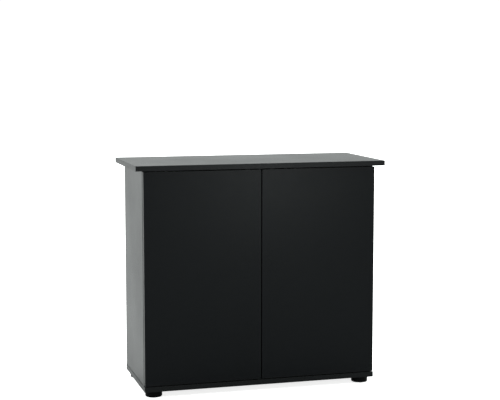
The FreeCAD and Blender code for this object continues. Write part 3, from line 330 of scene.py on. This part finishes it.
def make_board(name, axis, middle, half, outwards):
    """Black melamine on a board's two faces, painted lighter on the faces inside the cabinet as
    painted light, and chipboard on its cut edges and in its bores.

    outwards is the sign of the outer face's direction along the axis, or 0 for an inside board.
    """
    material, tree, shader = new_material(name, specular=BOARD_SPECULAR)
    across = add(tree, "SeparateXYZ")
    tree.links.new(object_places(tree), across.inputs["Vector"])
    from_middle = calculate(tree, "SUBTRACT", across.outputs[axis], middle)
    in_skin = calculate(tree, "GREATER_THAN", calculate(tree, "ABSOLUTE", from_middle), half - SKIN)
    outside = calculate(tree, "GREATER_THAN", calculate(tree, "MULTIPLY", from_middle, outwards), 0.0)

    smudges = noise(tree, SMUDGES, detail=4.0)
    grain = noise(tree, GRAIN, detail=3.0)
    pores = spread(tree, cells(tree, PORES, "Distance"), PORE_EDGES, NONE_TO_ALL)
    tint = calculate(tree, "MULTIPLY", spread(tree, smudges, MIDDLE, SMUDGE_SHARE), grain)
    # The faces inside the cabinet get a lighter copy of the same black: painted light in the
    # cabinet's shade, not a different board colour.
    inside_black_painted_light = mix_colours(tree, tint, *INSIDE_BLACK_PAINTED_LIGHT)
    outside_black = mix_colours(tree, tint, *OUTSIDE_BLACK)
    black = mix_colours(tree, outside, inside_black_painted_light, outside_black)
    smudge_sheen = spread(tree, smudges, MIDDLE, BOARD_SHEEN)
    sheen = calculate(tree, "ADD", smudge_sheen, spread(tree, grain, MIDDLE, GRAIN_SHEEN))
    melamine = calculate(tree, "MULTIPLY", calculate(tree, "ADD", grain, pores), MELAMINE_RELIEF)

    shades = add(tree, "SeparateColor")
    tree.links.new(cells(tree, FLAKES, "Color"), shades.inputs["Color"])
    fibres = noise(tree, FIBRES, detail=4.0, roughness=0.7)
    chips = calculate(tree, "MULTIPLY", calculate(tree, "ADD", shades.outputs[0], fibres), 0.5)

    colour = mix_colours(tree, in_skin, ramp(tree, chips, CHIP_STOPS), black)
    roughness = mix_numbers(tree, in_skin, CHIP_ROUGHNESS, sheen)
    height = mix_numbers(tree, in_skin, chips, melamine)
    connect(tree, shader, colour, roughness, bump(tree, height, BOARD_RELIEF, strength=0.6))
    return material


def make_edge_band():
    """Black plastic band with a faint lengthwise drag and rubbed corners."""
    material, tree, shader = new_material("black_edge_band", specular=BAND_SPECULAR)
    drag = noise(tree, BAND_DRAG, detail=3.0)
    spots = noise(tree, BAND_SPOTS, detail=3.0)
    wear = edge_wear(tree, BAND_WEAR_WIDTH, spread(tree, spots, UPPER_MIDDLE, BAND_WEAR))
    clean = mix_colours(tree, drag, BAND_BLACK, OUTSIDE_BLACK[1])
    colour = mix_colours(tree, wear, clean, BAND_WORN)
    roughness = spread(tree, drag, MIDDLE, BAND_ROUGHNESS)
    connect(tree, shader, colour, roughness, bump(tree, drag, BAND_RELIEF, strength=0.4))
    return material


def make_metal(name, colours, rough, depth):
    """Plated steel: cloudy plating, a fine drawn grain, and brighter rubbed edges."""
    material, tree, shader = new_material(name, metallic=1.0)
    clouds = noise(tree, PLATING_CLOUDS, detail=4.0)
    drawn = noise(tree, DRAWN_LINES, detail=3.0, stretch=DRAWN_STRETCH)
    wear = edge_wear(tree, METAL_WEAR_WIDTH, drawn)
    dull, bright = colours
    colour = mix_colours(tree, wear, mix_colours(tree, clouds, dull, bright), bright)
    cloudy = spread(tree, clouds, MIDDLE, rough)
    roughness = calculate(tree, "ADD", cloudy, spread(tree, drawn, MIDDLE, DRAWN_SHEEN))
    connect(tree, shader, colour, roughness, bump(tree, drawn, depth, strength=0.5))
    return material


def make_plastic(name, colours, rough, specular):
    """Moulded plastic with a fine sparked texture and scuffed edges."""
    material, tree, shader = new_material(name, specular=specular)
    texture = noise(tree, MOULD_TEXTURE, detail=2.0, roughness=0.5)
    clouds = noise(tree, PLASTIC_CLOUDS, detail=4.0)
    wear = edge_wear(tree, PLASTIC_WEAR_WIDTH, spread(tree, clouds, UPPER_MIDDLE, PLASTIC_WEAR))
    dark, light = colours
    scuffed = tuple(SCUFF_BRIGHTENING * part for part in light)
    colour = mix_colours(tree, wear, mix_colours(tree, clouds, dark, light), scuffed)
    roughness = spread(tree, clouds, MIDDLE, rough)
    connect(tree, shader, colour, roughness, bump(tree, texture, MOULD_RELIEF, strength=0.5))
    return material


def make_beech():
    """Turned beech with short flecks along the grain."""
    material, tree, shader = new_material("beech", specular=BEECH_SPECULAR)
    grain = noise(tree, BEECH_GRAIN, detail=4.0, stretch=BEECH_STRETCH)
    roughness = spread(tree, grain, MIDDLE, BEECH_ROUGHNESS)
    relief = bump(tree, grain, BEECH_RELIEF, strength=0.5)
    connect(tree, shader, ramp(tree, grain, BEECH_STOPS), roughness, relief)
    return material


def make_paper():
    """Pale seamless paper of the studio floor."""
    material, tree, shader = new_material("studio_paper", specular=0.0)
    fibres = noise(tree, PAPER_FIBRES, detail=3.0)
    colour = mix_colours(tree, fibres, *PAPER_WHITE)
    roughness = spread(tree, fibres, MIDDLE, PAPER_ROUGHNESS)
    connect(tree, shader, colour, roughness, bump(tree, fibres, PAPER_RELIEF, strength=0.2))
    path = add(tree, "LightPath")
    seen = calculate(tree, "MULTIPLY", path.outputs["Is Camera Ray"], PAPER_GLOW)
    mirrored = calculate(tree, "MULTIPLY", path.outputs["Is Glossy Ray"], MIRRORED_PAPER_GLOW)
    plug(tree, shader.inputs["Emission Color"], WHITE)
    plug(tree, shader.inputs["Emission Strength"], calculate(tree, "ADD", seen, mirrored))
    return material


MATERIALS = {"black_edge_band": make_edge_band(), "beech": make_beech()}
MATERIALS |= {metal[0]: make_metal(*metal) for metal in METALS}
MATERIALS |= {plastic[0]: make_plastic(*plastic) for plastic in PLASTICS}


def board_material(node):
    """The board material for a node, whose thinnest direction is the board's thickness."""
    low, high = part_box(node)
    spans = [high[axis] - low[axis] for axis in range(3)]
    axis = spans.index(min(spans))
    middle = (low[axis] + high[axis]) / 2
    from_centre = middle - (cad_box[0][axis] + cad_box[1][axis]) / 2
    outwards = 0.0 if abs(from_centre) < spans[axis] else math.copysign(1.0, from_centre)
    return make_board(f"{node}_melamine", axis, middle, spans[axis] / 2, outwards)


# ---- pieces carried over from the frame ----

def dress(node, slot):
    """Give one CAD node its material and break its sharp edges."""
    piece = frame["nodes"][node]
    material = board_material(node) if slot == "black_board" else MATERIALS[slot]
    for place in piece.material_slots:
        place.link = "OBJECT"
        place.material = material
    rounding = piece.modifiers.new("edges", "BEVEL")
    rounding.width = EDGE_ROUNDING[slot]
    rounding.segments = 2
    rounding.limit_method = "ANGLE"
    rounding.angle_limit = SHARP_ANGLE
    rounding.harden_normals = True


# ---- pieces built here ----

def finish_mesh(name, mesh_maker, material):
    """Make an object from a bmesh."""
    shape = bmesh.new()
    mesh_maker(shape)
    bmesh.ops.recalc_face_normals(shape, faces=shape.faces)
    mesh = bpy.data.meshes.new(name)
    shape.to_mesh(mesh)
    shape.free()
    piece = bpy.data.objects.new(name, mesh)
    bpy.context.scene.collection.objects.link(piece)
    mesh.materials.append(material)
    return piece


def add_thread(shape, centre, radius, low, high):
    """Grow a threaded rod with bevelled ends: rings of points whose radius follows the helix."""
    steps = math.ceil((high - low) / STUD_PITCH * STUD_ROWS_PER_TURN)
    core = radius - STUD_THREAD_DEPTH - STUD_END_BEVEL
    rings = []
    for step in range(steps + 1):
        height = low + (high - low) * step / steps
        from_end = min(height - low, high - height)
        ring = []
        for side in range(STUD_SIDES):
            turn = side / STUD_SIDES
            phase = (height / STUD_PITCH - turn) % 1.0
            groove = STUD_THREAD_DEPTH * (1.0 - abs(2.0 * phase - 1.0))
            reach = min(radius - groove, core + from_end)
            angle = 2.0 * math.pi * turn
            spot = (centre[0] + reach * math.cos(angle), centre[1] + reach * math.sin(angle), height)
            ring.append(shape.verts.new(spot))
        rings.append(ring)
    for lower, upper in zip(rings, rings[1:]):
        for side in range(STUD_SIDES):
            beside = (side + 1) % STUD_SIDES
            shape.faces.new((lower[side], lower[beside], upper[beside], upper[side]))
    shape.faces.new(list(reversed(rings[0])))
    shape.faces.new(rings[-1])


def build_stud(corner):
    """Threaded stud of a levelling foot, in place of its plain cylinder."""
    node = f"{corner}_foot_stud"
    low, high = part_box(node)
    centre = ((low[0] + high[0]) / 2, (low[1] + high[1]) / 2)
    radius = (high[0] - low[0]) / 2
    stud = finish_mesh(
        f"{corner}_threaded_stud",
        lambda shape: add_thread(shape, centre, radius, low[2], high[2]),
        MATERIALS["zinc_plated_steel"],
    )
    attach(stud, f"{corner}_levelling_foot")
    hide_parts(node)


# ---- stage, lights and camera ----

def build_floor():
    """A wide disc of pale paper just under the feet."""
    floor = finish_mesh(
        "studio_floor",
        lambda shape: bmesh.ops.create_circle(
            shape, cap_ends=True, segments=FLOOR_SIDES, radius=FLOOR_RADIUS),
        make_paper(),
    )
    floor.location.z = cad_box[0][2] - FLOOR_DROP


def add_light(name, kind, place, target, energy):
    """Add a studio-white lamp that points at a target.  A sun's energy is W/m2, a box's is W."""
    data = bpy.data.lights.new(name, kind)
    data.color = STUDIO_WHITE
    data.energy = energy
    lamp = bpy.data.objects.new(name, data)
    lamp.location = place
    lamp.rotation_euler = (Vector(target) - Vector(place)).to_track_quat("-Z", "Y").to_euler()
    bpy.context.scene.collection.objects.link(lamp)
    return lamp


def build_world():
    """White surroundings in view, and light from them that grows towards the back."""
    world = bpy.data.worlds.new("studio")
    bpy.context.scene.world = world
    world.use_nodes = True
    tree = world.node_tree
    light = tree.nodes["Background"]
    plug(tree, light.inputs["Color"], STUDIO_WHITE)
    towards = add(tree, "SeparateXYZ")
    tree.links.new(add(tree, "TexCoord").outputs["Generated"], towards.inputs["Vector"])
    strength = spread(tree, towards.outputs["Y"], SURROUNDINGS_TURN, SURROUNDINGS)
    tree.links.new(strength, light.inputs["Strength"])
    seen = add(tree, "Background", {"Color": (*WHITE, 1.0), "Strength": BACKGROUND})
    mixed = add(tree, "MixShader")
    tree.links.new(add(tree, "LightPath").outputs["Is Camera Ray"], mixed.inputs["Fac"])
    tree.links.new(light.outputs["Background"], mixed.inputs[1])
    tree.links.new(seen.outputs["Background"], mixed.inputs[2])
    tree.links.new(mixed.outputs["Shader"], tree.nodes["World Output"].inputs["Surface"])


def build_lights():
    """One wide overhead light that gives no hard shadow, and a soft box in front."""
    overhead = add_light("overhead", "SUN", OVERHEAD_PLACE, OVERHEAD_TARGET, OVERHEAD_STRENGTH)
    overhead.data.angle = OVERHEAD_SPREAD
    front_box = add_light("front_box", "AREA", FRONT_BOX_PLACE, FRONT_BOX_TARGET, FRONT_BOX_POWER)
    front_box.data.shape = "SQUARE"
    front_box.data.size = FRONT_BOX_SIDE
    front_box.visible_camera = False


def build_camera():
    """Camera at the viewing angle, level from side to side, with no lens shift."""
    data = bpy.data.cameras.new("camera")
    data.sensor_width = SENSOR_WIDTH
    data.lens = CAMERA_LENS
    data.clip_end = VIEW_DISTANCE
    camera = bpy.data.objects.new("camera", data)
    camera.location = CAMERA_PLACE
    camera.rotation_euler = Euler((math.pi / 2 - CAMERA_PITCH, 0.0, -CAMERA_YAW))
    bpy.context.scene.collection.objects.link(camera)
    bpy.context.scene.camera = camera


build_camera()
build_world()
build_lights()
build_floor()
for part in frame["record"]["subparts"]:
    dress(part["node"], part["material_slot"])
for corner in CORNERS:
    build_stud(corner)
bpy.context.scene.view_settings.view_transform = "Standard"
